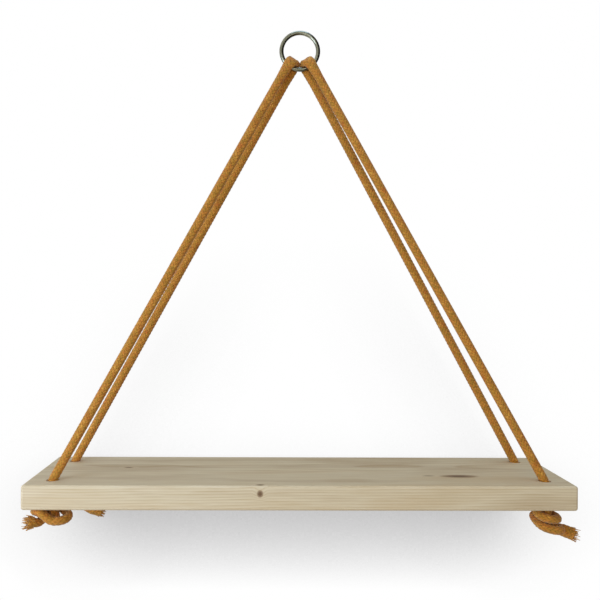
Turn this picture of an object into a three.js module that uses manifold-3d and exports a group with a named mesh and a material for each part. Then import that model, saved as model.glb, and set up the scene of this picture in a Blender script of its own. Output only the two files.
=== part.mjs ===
// A hanging rope shelf: a pine board carried by two knotted ropes from one steel ring.
// Millimetres. +X is to the right, +Y is towards the wall and +Z is up.
// The origin is where the hook sits: the middle of the ring's wire span, at the ring's inner top.
import * as THREE from 'three';
import { mergeVertices } from 'three/addons/utils/BufferGeometryUtils.js';
import Module from 'manifold-3d';

const wasm = await Module();
wasm.setup();

// Board
const boardLength = 600;
const boardDepth = 145;
const boardThickness = 27;
const easedEdge = 3;
const planCorner = 1.5;
const easedEdgeSteps = 3;
const planCornerSteps = 3;

// Rope holes in the board
const holeToEnd = 27;
const holeToEdge = 25;
const holeDiameter = 13;
const easedRim = 1;
const easedRimSteps = 3;
const holeSides = 32;

// Ring
const ringInnerRadius = 19;
const ringWireDiameter = 5;
const ringSteps = 60;
const ringWireSides = 12;

// Hook seat to the board's top face
const hangHeight = 511;

// Rope
const ropeDiameter = 10;
const ropeSides = 12;

// The turn over the ring's wire: the braid spreads at the crown and is pressed flat beside the wire.
// Each turn is skewed: its front leg leaves the wire further from the ring's bottom than its rear leg.
const crownWidthShare = 1.44;
const crownThicknessShare = 0.77;
const crownSquareness = 3.2;
const legWidthShare = 1.3;
const legThicknessShare = 0.75;
const frontLegArc = 13.9;
const rearLegArc = 8.7;
const turnSteps = 16;
const turnSides = 20;
const legBendRun = 4;
const legRun = 16;
const legSteps = 7;

// Where a strand straightens up inside its hole
const kneeDepth = 3;
const kneeShift = 1.2;
const kneeRun = 8;
const kneeSteps = 6;

// Stopper knots: the rope is pulled thinner in them and its cut end opens out
const knotRopeShare = 0.93;
const knotGap = 0.55;
const knotStep = 2.4;
const ropeTaper = 6;
const tailWidthShare = 1.45;
const tailOpeningRun = 8;
const flatTailLength = 9;
const roundTailLength = 20;

// Clearance between pieces that touch
const touchGap = 0.3;

// The radius at which the turn and the strands part, about the line that the shelf swings on
const swingCutRadius = 13;
const swingCutSides = 96;

// Sizes that follow from those above
const ropeRadius = ropeDiameter / 2;
const wireRadius = ringWireDiameter / 2;
const ringRadius = ringInnerRadius + wireRadius;
const ringCentre = new THREE.Vector3(0, 0, -ringInnerRadius);
const boardTop = -hangHeight;
const boardBottom = boardTop - boardThickness;
const holeX = boardLength / 2 - holeToEnd;
const holeY = boardDepth / 2 - holeToEdge;
const crownHalfWidth = crownWidthShare * ropeRadius;
const crownHalfThickness = crownThicknessShare * ropeRadius;
const legHalfWidth = legWidthShare * ropeRadius;
const legHalfThickness = legThicknessShare * ropeRadius;
const legReach = wireRadius + touchGap + legHalfThickness;
const knotRopeRadius = knotRopeShare * ropeRadius;
const knotPitch = 2 * knotRopeRadius + knotGap;
const tailRadius = tailWidthShare * ropeRadius;
const frontLegAngle = frontLegArc / ringRadius;
const rearLegAngle = rearLegArc / ringRadius;
const swingAxisZ = ringCentre.z - ringRadius * Math.cos((frontLegAngle + rearLegAngle) / 2);

// Knot routes, as shares of the knot's pitch from the hole's centre at the board's underside.
// x runs towards the tail, y towards the middle of the board and z up. The first points are in the hole.
// A flat knot is an overhand knot lying against the board.
const flatKnotShares = [
  [0, 0, 0.6], [0, 0, 0.1], [-0.08, 0, -0.4], [-0.25, 0.03, -0.9], [-0.28, 0.42, -1.42],
  [0.05, 0.98, -1.6], [0.65, 1.3, -1.45], [1.3, 1.25, -1.25], [1.8, 0.8, -1], [1.92, 0.1, -0.78],
  [1.7, -0.6, -0.6], [1.2, -1.12, -0.55], [0.6, -1.35, -0.8], [0.1, -1.38, -1.2], [-0.4, -1.35, -1.45],
  [-1, -1.25, -1.5], [-1.5, -0.95, -1.47], [-1.8, -0.4, -1.38], [-1.75, 0.25, -1.25],
  [-1.35, 0.8, -1.12], [-0.85, 1.1, -0.82], [-0.2, 1.1, -0.55], [0.4, 0.95, -0.5], [0.8, 0.55, -0.72],
  [0.88, 0.05, -1.12], [0.95, -0.5, -1.52], [1.2, -1.05, -1.72], [1.6, -1.5, -1.6], [2.15, -1.8, -1.5],
];
// A round knot winds twice about its own standing part and tail, from the bottom up, and hangs as a ball.
const roundKnotShares = [
  [0, 0, 0.6], [0.04, 0, 0.05], [0.24, 0, -0.55], [0.32, 0, -1.15], [0.33, 0.03, -1.7], [0.45, 0.06, -2.1],
  [0.82, 0.05, -2.4], [1.25, -0.08, -2.52], [1.56, -0.48, -2.56], [1.42, -0.96, -2.54],
  [0.95, -1.22, -2.5], [0.35, -1.18, -2.41], [-0.22, -0.94, -2.28], [-0.6, -0.45, -2.12],
  [-0.74, 0.2, -1.94], [-0.76, 0.9, -1.78], [-0.58, 1.75, -1.64], [0.3, 2.25, -1.56],
  [1.18, 1.75, -1.5], [1.38, 0.8, -1.46], [1.36, 0, -1.42], [1.06, -0.76, -1.38], [0.3, -1.1, -1.28],
  [-0.48, -0.8, -1.12], [-0.81, 0, -0.9], [-0.76, 0.75, -0.66], [-0.55, 1.4, -0.52], [-0.05, 1.62, -0.58],
  [0.3, 1.42, -0.95], [0.34, 1.14, -1.45], [0.4, 1.08, -1.95], [0.75, 1.12, -2.33], [1.3, 1.08, -2.6],
  [1.95, 0.87, -2.9], [2.7, 0.6, -3.17], [3.45, 0.4, -3.42],
];

// Materials
const pine = new THREE.MeshStandardMaterial({ color: 0xd8c8a2, roughness: 0.62, metalness: 0 });
const rope = new THREE.MeshStandardMaterial({ color: 0xa26f32, roughness: 0.85, metalness: 0 });
const steel = new THREE.MeshStandardMaterial({ color: 0x77766c, roughness: 0.28, metalness: 1 });

// A closed solid from a geometry
function toSolid(geometry) {
  const bare = geometry.clone();
  bare.deleteAttribute('normal');
  bare.deleteAttribute('uv');
  const merged = mergeVertices(bare);
  return new wasm.Manifold(new wasm.Mesh({
    numProp: 3,
    vertProperties: new Float32Array(merged.attributes.position.array),
    triVerts: new Uint32Array(merged.index.array),
  }));
}

// A geometry from a closed solid
function fromSolid(solid) {
  const mesh = solid.getMesh();
  const geometry = new THREE.BufferGeometry();
  geometry.setAttribute('position', new THREE.BufferAttribute(new Float32Array(mesh.vertProperties), 3));
  geometry.setIndex(new THREE.BufferAttribute(new Uint32Array(mesh.triVerts), 1));
  geometry.computeVertexNormals();
  return geometry;
}

function namedMesh(name, geometry, material) {
  const mesh = new THREE.Mesh(geometry, material);
  mesh.name = name;
  return mesh;
}

// The points round one section, from its centre and its two half axes, squarer as the last number grows
function sectionPoints(centre, halfSide, halfUp, sides, squareness) {
  const points = [];
  for (let k = 0; k < sides; k += 1) {
    const [side, up] = sectionShares(k, sides, squareness);
    points.push(centre.clone().addScaledVector(halfSide, side).addScaledVector(halfUp, up));
  }
  return points;
}

// How far along its two half axes one point of a section lies
function sectionShares(k, sides, squareness) {
  const angle = (2 * Math.PI * k) / sides;
  const squared = (value) => Math.sign(value) * Math.abs(value) ** (2 / squareness);
  return [squared(Math.cos(angle)), squared(Math.sin(angle))];
}

// A closed tube through sections, each a list of the same number of points
function tubeThrough(sections) {
  const sides = sections[0].length;
  const positions = sections.flat().flatMap((point) => point.toArray());
  const index = [];
  for (let ring = 0; ring < sections.length - 1; ring += 1) {
    for (let k = 0; k < sides; k += 1) {
      const next = (k + 1) % sides;
      const a = ring * sides + k;
      const b = ring * sides + next;
      index.push(a, b, a + sides, b, b + sides, a + sides);
    }
  }
  const last = (sections.length - 1) * sides;
  for (let k = 1; k < sides - 1; k += 1) {
    index.push(0, k + 1, k);
    index.push(last, last + k, last + k + 1);
  }
  const geometry = new THREE.BufferGeometry();
  geometry.setAttribute('position', new THREE.Float32BufferAttribute(positions, 3));
  geometry.setIndex(index);
  return geometry;
}

// Round sections along points, square to the route, turned as little as possible from each to the next
function roundSections(points, radiusAt) {
  const sections = [];
  let side = null;
  points.forEach((centre, i) => {
    const before = points[Math.max(0, i - 1)];
    const after = points[Math.min(points.length - 1, i + 1)];
    const forward = after.clone().sub(before).normalize();
    const guide = side ?? new THREE.Vector3(0, 1, 0);
    side = guide.clone().addScaledVector(forward, -guide.dot(forward)).normalize();
    const up = forward.clone().cross(side);
    const radius = radiusAt(i);
    const halfSide = side.clone().multiplyScalar(radius);
    sections.push(sectionPoints(centre, halfSide, up.multiplyScalar(radius), ropeSides, 2));
  });
  return sections;
}

// How far along a route each of its points is
function runsAlong(points) {
  let run = 0;
  return points.map((point, i) => {
    run += i > 0 ? point.distanceTo(points[i - 1]) : 0;
    return run;
  });
}

// The least distance between the surfaces of a round rope and itself, past its own nearby bend
function leastSelfGap(points, radii) {
  const runs = runsAlong(points);
  let least = Infinity;
  for (let i = 0; i < points.length; i += 1) {
    for (let j = i + 1; j < points.length; j += 1) {
      const nearby = (Math.PI / 2) * (radii[i] + radii[j]);
      if (runs[j] - runs[i] > nearby) {
        least = Math.min(least, points[i].distanceTo(points[j]) - radii[i] - radii[j]);
      }
    }
  }
  return least;
}

// What one rope hole takes out of the board, with an eased rim above and below
function makeDrill() {
  const holeRadius = holeDiameter / 2;
  const rim = [];
  for (let i = 0; i <= easedRimSteps; i += 1) {
    const angle = (Math.PI / 2) * (i / easedRimSteps);
    const radius = holeRadius + easedRim * (1 - Math.cos(angle));
    rim.push([radius, boardThickness / 2 - easedRim * (1 - Math.sin(angle))]);
  }
  rim.push([holeRadius + easedRim, boardThickness]);
  const below = rim.map(([radius, height]) => [radius, -height]).reverse();
  const sections = [...below, ...rim].map(([radius, height]) => sectionPoints(
    new THREE.Vector3(0, 0, height),
    new THREE.Vector3(radius, 0, 0),
    new THREE.Vector3(0, radius, 0),
    holeSides,
    2,
  ));
  return tubeThrough(sections);
}

// The board, with eased edges and its rope holes
function makeBoard() {
  const x = boardLength / 2 - easedEdge;
  const y = boardDepth / 2 - easedEdge;
  const outline = new THREE.Shape();
  outline.moveTo(-x + planCorner, -y);
  outline.lineTo(x - planCorner, -y);
  outline.absarc(x - planCorner, -y + planCorner, planCorner, -Math.PI / 2, 0);
  outline.lineTo(x, y - planCorner);
  outline.absarc(x - planCorner, y - planCorner, planCorner, 0, Math.PI / 2);
  outline.lineTo(-x + planCorner, y);
  outline.absarc(-x + planCorner, y - planCorner, planCorner, Math.PI / 2, Math.PI);
  outline.lineTo(-x, -y + planCorner);
  outline.absarc(-x + planCorner, -y + planCorner, planCorner, Math.PI, 1.5 * Math.PI);
  const slab = new THREE.ExtrudeGeometry(outline, {
    depth: boardThickness - 2 * easedEdge,
    bevelThickness: easedEdge,
    bevelSize: easedEdge,
    bevelSegments: easedEdgeSteps,
    curveSegments: planCornerSteps,
  });
  slab.translate(0, 0, boardBottom + easedEdge);
  const drill = makeDrill();
  const middle = boardTop - boardThickness / 2;
  let solid = toSolid(slab);
  for (const sideways of [-1, 1]) {
    for (const back of [-1, 1]) {
      const hole = drill.clone().translate(sideways * holeX, back * holeY, middle);
      solid = solid.subtract(toSolid(hole));
    }
  }
  return namedMesh('board', fromSolid(solid), pine);
}

// The ring, facing the front
function makeRing() {
  const geometry = new THREE.TorusGeometry(ringRadius, wireRadius, ringWireSides, ringSteps);
  geometry.rotateX(Math.PI / 2);
  const mesh = namedMesh('ring', geometry, steel);
  mesh.position.copy(ringCentre);
  return mesh;
}

// Directions at a place on the ring, an angle away from its bottom towards one side
function ringPlace(sideways, angle) {
  const outward = new THREE.Vector3(sideways * Math.sin(angle), 0, -Math.cos(angle));
  const along = new THREE.Vector3(sideways * Math.cos(angle), 0, Math.sin(angle));
  const wire = ringCentre.clone().addScaledVector(outward, ringRadius);
  return { outward, along, wire };
}

// The places that one leg of a rope runs through, from beside the ring's wire into its hole
function legRoute(sideways, back) {
  const { outward, along, wire } = ringPlace(sideways, back < 0 ? frontLegAngle : rearLegAngle);
  const beside = wire.clone().add(new THREE.Vector3(0, back * legReach, 0));
  const bend = beside.clone().addScaledVector(outward, legBendRun);
  const knee = new THREE.Vector3(sideways * (holeX + kneeShift), back * holeY, boardTop - kneeDepth);
  const direction = knee.clone().sub(bend).normalize();
  return {
    along,
    beside,
    bend,
    knee,
    direction,
    start: bend.clone().addScaledVector(direction, legRun),
    end: knee.clone().addScaledVector(direction, -kneeRun),
  };
}

// A round bar along the line that the shelf swings on
function swingBar(radius) {
  const bar = new THREE.CylinderGeometry(radius, radius, boardLength, swingCutSides);
  bar.rotateZ(Math.PI / 2);
  return bar.translate(0, 0, swingAxisZ);
}

// The sections of one leg, from flat beside the wire to round where its straight run starts
function legSections(sideways, back) {
  const { along, beside, bend, start, direction } = legRoute(sideways, back);
  const curve = new THREE.QuadraticBezierCurve3(beside, bend, start);
  const away = new THREE.Vector3(0, back, 0);
  const startSide = along.clone().addScaledVector(direction, -along.dot(direction)).normalize();
  const startUp = away.clone().addScaledVector(direction, -away.dot(direction))
    .addScaledVector(startSide, -away.dot(startSide)).normalize();
  const sections = [];
  for (let i = 1; i <= legSteps; i += 1) {
    const share = i / legSteps;
    const side = along.clone().lerp(startSide, share).normalize();
    const up = away.clone().lerp(startUp, share).normalize();
    side.multiplyScalar(THREE.MathUtils.lerp(legHalfWidth, ropeRadius, share));
    up.multiplyScalar(THREE.MathUtils.lerp(legHalfThickness, ropeRadius, share));
    sections.push(sectionPoints(curve.getPoint(share), side, up, turnSides, 2));
  }
  return sections;
}

// How far from the ring's bottom a turn lies, at a share of its way over the wire from front to rear
function turnAngle(share) {
  return THREE.MathUtils.lerp(frontLegAngle, rearLegAngle, THREE.MathUtils.smootherstep(share, 0, 1));
}

// One section of a turn, bent to the ring's curve at the crown
function turnSection(sideways, share) {
  const round = Math.PI * (share - 0.5);
  const crown = Math.cos(round);
  const halfWidth = THREE.MathUtils.lerp(legHalfWidth, crownHalfWidth, crown);
  const halfThickness = THREE.MathUtils.lerp(legHalfThickness, crownHalfThickness, crown);
  const reach = wireRadius + touchGap + halfThickness;
  const angle = turnAngle(share);
  const { outward, along, wire } = ringPlace(sideways, angle);
  const up = outward.clone().multiplyScalar(-crown);
  up.y = Math.sin(round);
  const centre = wire.clone().addScaledVector(up, reach);
  const halfSide = along.multiplyScalar(halfWidth);
  const squareness = THREE.MathUtils.lerp(2, crownSquareness, crown);
  const halfUp = up.multiplyScalar(halfThickness);
  const flat = sectionPoints(centre, halfSide, halfUp, turnSides, squareness);
  return flat.map((point, k) => {
    const [side, thick] = sectionShares(k, turnSides, squareness);
    const spread = (side * halfWidth) / (ringRadius - reach * crown);
    const height = reach + thick * halfThickness;
    const bent = ringPlace(sideways, angle + spread).outward.multiplyScalar(ringRadius - height * crown);
    bent.y = height * Math.sin(round);
    return point.lerp(bent.add(ringCentre), crown);
  });
}

// The turn of one rope over the ring's wire, with the start of both its legs
function makeTurn(sideName, sideways) {
  const overWire = [];
  for (let i = 0; i <= turnSteps; i += 1) {
    overWire.push(turnSection(sideways, i / turnSteps));
  }
  const front = legSections(sideways, -1).reverse();
  const rear = legSections(sideways, 1);
  const sections = [...front, ...overWire, ...rear];
  if (sideways > 0) {
    sections.reverse();
  }
  const solid = toSolid(tubeThrough(sections));
  const kept = solid.intersect(toSolid(swingBar(swingCutRadius)));
  return namedMesh(`${sideName}_rope_turn`, fromSolid(kept), rope);
}

// One strand, cut clear of the turn for the swing
function makeStrand(sideName, sideways, endName, back) {
  const { start, end, direction } = legRoute(sideways, back);
  const sections = legSections(sideways, back);
  const straight = end.clone().addScaledVector(direction, -touchGap).sub(start);
  sections.push(sections[sections.length - 1].map((point) => point.clone().add(straight)));
  if (sideways * back > 0) {
    sections.reverse();
  }
  const solid = toSolid(tubeThrough(sections));
  const kept = solid.subtract(toSolid(swingBar(swingCutRadius + touchGap)));
  return namedMesh(`${sideName}_${endName}_strand`, fromSolid(kept), rope);
}

// The rest of one rope end: the bend in the hole, the stopper knot and the tail
function makeKnot(sideName, sideways, endName, back, shares, tailSideways, tailLength) {
  const { knee, end } = legRoute(sideways, back);
  const upright = knee.clone().setZ(knee.z - kneeRun);
  const points = new THREE.QuadraticBezierCurve3(end, knee, upright).getPoints(kneeSteps);
  const places = shares.map(([x, y, z]) => new THREE.Vector3(
    sideways * holeX + tailSideways * x * knotPitch,
    back * holeY - back * y * knotPitch,
    boardBottom + z * knotPitch,
  ));
  const route = new THREE.CatmullRomCurve3(places, false, 'centripetal');
  const steps = Math.round(route.getLength() / knotStep);
  points.push(...route.getSpacedPoints(steps));
  const runs = runsAlong(points);
  const tailStart = runs[runs.length - 1] - tailLength;
  const radii = points.map((point, i) => {
    const below = THREE.MathUtils.clamp((boardBottom - point.z) / ropeTaper, 0, 1);
    const open = THREE.MathUtils.clamp((runs[i] - tailStart) / tailOpeningRun, 0, 1);
    return THREE.MathUtils.lerp(THREE.MathUtils.lerp(ropeRadius, knotRopeRadius, below), tailRadius, open);
  });
  const name = `${sideName}_${endName}_knot`;
  console.log(`${name}: least gap to itself ${leastSelfGap(points, radii).toFixed(2)} mm, `
    + `${(route.getLength()).toFixed(0)} mm of rope below the board`);
  return namedMesh(name, tubeThrough(roundSections(points, (i) => radii[i])), rope);
}

function makeRope(sideName, sideways) {
  const group = new THREE.Group();
  group.add(makeTurn(sideName, sideways));
  group.add(makeStrand(sideName, sideways, 'front', -1));
  group.add(makeStrand(sideName, sideways, 'rear', 1));
  return group;
}

const shelf = new THREE.Group();
shelf.add(makeRing());
shelf.add(makeBoard());
shelf.add(makeRope('left', -1));
shelf.add(makeRope('right', 1));
shelf.add(makeKnot('left', -1, 'front', -1, flatKnotShares, -1, flatTailLength));
shelf.add(makeKnot('left', -1, 'rear', 1, roundKnotShares, 1, roundTailLength));
shelf.add(makeKnot('right', 1, 'front', -1, roundKnotShares, 1, roundTailLength));
shelf.add(makeKnot('right', 1, 'rear', 1, flatKnotShares, 1, flatTailLength));

export default shelf;
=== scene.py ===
# The looks of the hanging rope shelf: two braided ropes, a pine board and a steel ring.
# Lengths are millimetres in the row frame until a mesh is made, and MM turns them into metres.
import functools
import math

import bmesh
import bpy
import numpy as np
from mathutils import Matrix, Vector


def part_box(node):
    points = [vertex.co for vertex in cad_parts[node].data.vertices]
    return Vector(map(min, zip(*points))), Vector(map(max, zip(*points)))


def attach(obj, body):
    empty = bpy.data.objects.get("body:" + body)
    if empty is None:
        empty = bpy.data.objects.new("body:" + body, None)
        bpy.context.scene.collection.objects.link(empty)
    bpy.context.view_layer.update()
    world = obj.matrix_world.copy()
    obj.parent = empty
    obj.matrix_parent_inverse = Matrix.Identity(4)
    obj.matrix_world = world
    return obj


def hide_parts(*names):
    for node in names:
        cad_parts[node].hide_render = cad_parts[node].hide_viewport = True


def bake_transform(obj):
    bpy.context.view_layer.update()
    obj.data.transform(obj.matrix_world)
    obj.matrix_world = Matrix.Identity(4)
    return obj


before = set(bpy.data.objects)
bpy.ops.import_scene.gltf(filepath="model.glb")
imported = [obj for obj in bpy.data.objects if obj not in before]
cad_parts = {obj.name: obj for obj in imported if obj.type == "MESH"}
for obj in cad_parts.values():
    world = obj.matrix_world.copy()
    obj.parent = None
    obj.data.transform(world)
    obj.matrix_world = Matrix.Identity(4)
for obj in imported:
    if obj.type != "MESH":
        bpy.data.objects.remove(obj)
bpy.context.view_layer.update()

MM = 0.001

# Board, as in the frame
BOARD_LOW, BOARD_HIGH = (np.array(corner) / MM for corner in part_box("board"))
BOARD_TOP = BOARD_HIGH[2]
BOARD_BOTTOM = BOARD_LOW[2]
HOLE_TO_END = 27.0
HOLE_TO_EDGE = 25.0
HOLE_X = BOARD_HIGH[0] - HOLE_TO_END
HOLE_Y = BOARD_HIGH[1] - HOLE_TO_EDGE
HOLE_RADIUS = 6.5
HOLE_RIM = 1.0
EDGE_RADIUS = 3.0
EDGE_SEGMENTS = 7
RIM_POINTS = 6
DRILL_SEGMENTS = 64
DRILL_OVERRUN = 2.0
SHARP_DEGREES = 40

# Ring
RING_INNER_RADIUS = 19.0
WIRE_RADIUS = 2.5
RING_RADIUS = RING_INNER_RADIUS + WIRE_RADIUS
RING_CENTRE = np.array([0.0, 0.0, -RING_INNER_RADIUS])
RING_SEGMENTS = 192
WIRE_SIDES = 24
# The weld's bead: its place and reach are angles round the ring, and a seam runs down its middle
BEAD_ANGLE = math.radians(68)
BEAD_REACH = 0.05
BEAD_HEIGHT = 0.22
BEAD_SEAM_DEPTH = 0.5
BEAD_SEAM_SHARPNESS = 3.2

# Rope and its turn over the ring
ROPE_RADIUS = 5.0
TOUCH_GAP = 0.3
CROWN_HALF_WIDTH = 1.53 * ROPE_RADIUS
CROWN_HALF_THICKNESS = 0.77 * ROPE_RADIUS
CROWN_SQUARENESS = 3.2
LEG_HALF_WIDTH = 1.3 * ROPE_RADIUS
LEG_HALF_THICKNESS = 0.75 * ROPE_RADIUS
FRONT_LEG_ANGLE = 13.9 / RING_RADIUS
REAR_LEG_ANGLE = 8.7 / RING_RADIUS
LEG_BEND_RUN = 4.0
LEG_RUN = 16.0
KNEE_DEPTH = 3.0
KNEE_SHIFT = 1.2
KNEE_RUN = 8.0
LEG_POINTS = 80
TURN_POINTS = 120
STRAND_POINTS = 1200
KNEE_POINTS = 60
KNOT_SPAN_POINTS = 24

# Knots: the routes are shares of this pitch from the hole's centre at the board's underside
KNOT_PITCH = 9.85
KNOT_ROPE_RADIUS = 4.76
ROPE_TAPER = 6.0
TAIL_RADIUS = 6.9
TAIL_OPENING_RUN = 8.0
FLAT_KNOT = [
    (0, 0, 0.6), (0, 0, 0.1), (-0.08, 0, -0.4), (-0.25, 0.03, -0.9), (-0.28, 0.42, -1.42),
    (0.05, 0.98, -1.6), (0.65, 1.3, -1.45), (1.3, 1.25, -1.25), (1.8, 0.8, -1), (1.92, 0.1, -0.78),
    (1.7, -0.6, -0.6), (1.2, -1.12, -0.55), (0.6, -1.35, -0.8), (0.1, -1.38, -1.2), (-0.4, -1.35, -1.45),
    (-1, -1.25, -1.5), (-1.5, -0.95, -1.47), (-1.8, -0.4, -1.38), (-1.75, 0.25, -1.25),
    (-1.35, 0.8, -1.12), (-0.85, 1.1, -0.82), (-0.2, 1.1, -0.55), (0.4, 0.95, -0.5), (0.8, 0.55, -0.72),
    (0.88, 0.05, -1.12), (0.95, -0.5, -1.52), (1.2, -1.05, -1.72), (1.6, -1.5, -1.6), (2.15, -1.8, -1.5),
]
FLAT_TAIL_LENGTH = 9.0
ROUND_KNOT = [
    (0, 0, 0.6), (0.04, 0, 0.05), (0.24, 0, -0.55), (0.32, 0, -1.15), (0.33, 0.03, -1.7),
    (0.45, 0.06, -2.1), (0.82, 0.05, -2.4), (1.25, -0.08, -2.52), (1.56, -0.48, -2.56),
    (1.42, -0.96, -2.54), (0.95, -1.22, -2.5), (0.35, -1.18, -2.41), (-0.22, -0.94, -2.28),
    (-0.6, -0.45, -2.12), (-0.74, 0.2, -1.94), (-0.76, 0.9, -1.78), (-0.58, 1.75, -1.64),
    (0.3, 2.25, -1.56), (1.18, 1.75, -1.5), (1.38, 0.8, -1.46), (1.36, 0, -1.42),
    (1.06, -0.76, -1.38), (0.3, -1.1, -1.28), (-0.48, -0.8, -1.12), (-0.81, 0, -0.9),
    (-0.76, 0.75, -0.66), (-0.55, 1.4, -0.52), (-0.05, 1.62, -0.58), (0.3, 1.42, -0.95),
    (0.34, 1.14, -1.45), (0.4, 1.08, -1.95), (0.75, 1.12, -2.33), (1.3, 1.08, -2.6),
    (1.95, 0.87, -2.9), (2.7, 0.6, -3.17), (3.45, 0.4, -3.42),
]
ROUND_TAIL_LENGTH = 20.0
# For each rope: its side, then the knot, its tail's length and the way that points, front and rear
ROPES = {
    "left": (-1, (FLAT_KNOT, FLAT_TAIL_LENGTH, -1), (ROUND_KNOT, ROUND_TAIL_LENGTH, 1)),
    "right": (1, (ROUND_KNOT, ROUND_TAIL_LENGTH, 1), (FLAT_KNOT, FLAT_TAIL_LENGTH, 1)),
}

# Braid: carriers that wind each way over and under two others
CARRIERS = 8
BRAID_PITCH = 37.0
BRAID_LIFT = 0.36
CARRIER_BULGE = 0.7
CARRIER_ROUNDNESS = 0.93
BRAID_BASE = -0.19
ROPE_SIDES = 48
ROPE_STEP = 0.77
ROUTE_STEP = 0.25
ROUTE_SMOOTHING = 1.0
INNER_BEND_LIMIT = 0.9
SHEET_ROWS = 7
SHEET_MARGIN = 0.04

# Columns of a route's rows: the point, its section's half sizes and directions, and its share over the wire
PLACE = slice(0, 3)
HALF_WIDTH = 3
HALF_THICKNESS = 4
SIDE = slice(5, 8)
UP = slice(8, 11)
CROWN = 11
# A row gives its directions where they are at least this long
DIRECTION_GIVEN = 0.97

# Frayed ends, which point along the rope's last few steps
END_STEPS = 6
YARNS = 84
YARN_RADIUS = 0.56
YARN_LENGTH = (4.0, 9.0)
YARN_START = (2.0, 7.0)
YARN_THICKNESS = (0.7, 1.25)
YARN_TAPER = 0.55
YARN_SPLAY = 0.4
YARN_WANDER = 0.14
YARN_CURL = 0.07
YARN_DROOP = 0.6
YARN_INSET = 0.2
YARN_POINTS = 7
YARN_SIDES = 5
GOLDEN_ANGLE = math.pi * (3 - math.sqrt(5))
# Directions away from a yarn's own, for steep yarns and for level ones, and from a rope end's
STEEP = 0.7
STEEP_YARN_GUIDE = np.array([0.9, 0.3, 0.1])
LEVEL_YARN_GUIDE = np.array([0.3, 0.5, 0.81])
END_GUIDE = np.array([0.2, 0.1, 1.0])
FRAYED_END_SEEDS = {"left_front": 16, "left_rear": 15, "right_front": 28, "right_rear": 27}

# Camera, fitted to the board's corners, the holes and the ring in the photograph
CAMERA_PLACE = (-41.4, -839.2, -314.1)
CAMERA_TURN = -0.72
CAMERA_TILT = 0.3
CAMERA_FOCAL_PIXELS = 714.9
CAMERA_CENTRE_PIXEL = (272.2, 302.4)
FRAME_PIXELS = 600.0
SENSOR_WIDTH = 36.0
CAMERA_NEAREST = 10.0

# Floor, with its painted shade, and the sheet of painted shadow where a wall would stand
WHITE = (1.0, 1.0, 1.0)
FLOOR = -900.0
FLOOR_HALF_SIZE = 920.0
FLOOR_SHADE = (0.8, 0.8, 0.8)
FLOOR_SHADE_REACH = 500.0
FLOOR_SHADE_SAMPLES = 8
FLOOR_FADE = (420.0, 900.0)
WALL = 88.0
WALL_AREA = (-720.0, 720.0, -780.0, -200.0)
WALL_FADE = (-380.0, -230.0)
WALL_SHADE = (0.36, 0.355, 0.36)
WALL_SHADE_REACH = 150.0
WALL_SHADE_SAMPLES = 12
WALL_SHADE_FROM = (0.0, -0.45, 0.9)
WALL_SHADE_FULL = 0.35
WALL_SHADE_NONE = 0.97

# Lights: each lamp's place, target and size in metres, its watts and its tint
SURROUND = 0.40
SURROUND_TINT = (1.0, 0.985, 0.96)
GLINT_TINT = 0.97
GLINT_BANDS = (
    (0.0, 0.3), (0.1, 0.95), (0.36, 0.9), (0.46, 0.42),
    (0.54, 0.3), (0.66, 0.06), (0.92, 0.03), (1.0, 0.02),
)
KEY = ((-0.95, -0.75, -0.42), (-0.1, 0, -0.45), (0.5, 0.7), 7.4, (0.82, 1.0, 1.34))
FILL = ((0.1, -1.5, -0.1), (0, 0, -0.3), (1.2, 0.8), 3.6, (1.04, 1.0, 0.9))
SKY = ((0.05, 0.0, 0.75), (0, 0, -0.5), (0.9, 0.5), 3.2, (0.72, 1.0, 1.4))


# Small helpers for routes

def unit(vector):
    return vector / np.linalg.norm(vector)


def lerp(a, b, share):
    return a + (b - a) * share


def eased(share):
    """The share again, but level at 0 and at 1."""
    return share ** 3 * (share * (6 * share - 15) + 10)


def run_along(points):
    """How far along the route each point is."""
    return np.concatenate([[0], np.cumsum(np.linalg.norm(np.diff(points, axis=0), axis=1))])


def curve_round(a, b, c, count):
    """A curve of count points from a to c that sets out towards b and arrives from it."""
    share = np.linspace(0, 1, count)[:, None]
    return (1 - share) ** 2 * a + 2 * share * (1 - share) * b + share ** 2 * c


def curve_through(places, count):
    """A smooth curve through places, with count points to each span."""
    places = np.array(places, float)
    ends = 2 * places[0] - places[1], 2 * places[-1] - places[-2]
    p = np.vstack([ends[0], places, ends[1]])
    share = np.linspace(0, 1, count, endpoint=False)[:, None]
    spans = []
    for p0, p1, p2, p3 in zip(p, p[1:], p[2:], p[3:]):
        d0, d1, d2 = (math.sqrt(np.linalg.norm(b - a)) for a, b in ((p0, p1), (p1, p2), (p2, p3)))
        leave = d1 * ((p1 - p0) / d0 - (p2 - p0) / (d0 + d1) + (p2 - p1) / d1)
        arrive = d1 * ((p2 - p1) / d1 - (p3 - p1) / (d1 + d2) + (p3 - p2) / d2)
        spans.append(
            p1 + leave * share
            + (3 * (p2 - p1) - 2 * leave - arrive) * share ** 2
            + (2 * (p1 - p2) + leave + arrive) * share ** 3
        )
    return np.vstack([*spans, places[-1:]])


# The rope's route, as in the CAD source

def ring_place(side, angle):
    """Outward and along directions and the wire's middle, at an angle up from the ring's bottom."""
    outward = np.array([side * math.sin(angle), 0, -math.cos(angle)])
    along = np.array([side * math.cos(angle), 0, math.sin(angle)])
    return outward, along, RING_CENTRE + RING_RADIUS * outward


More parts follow.
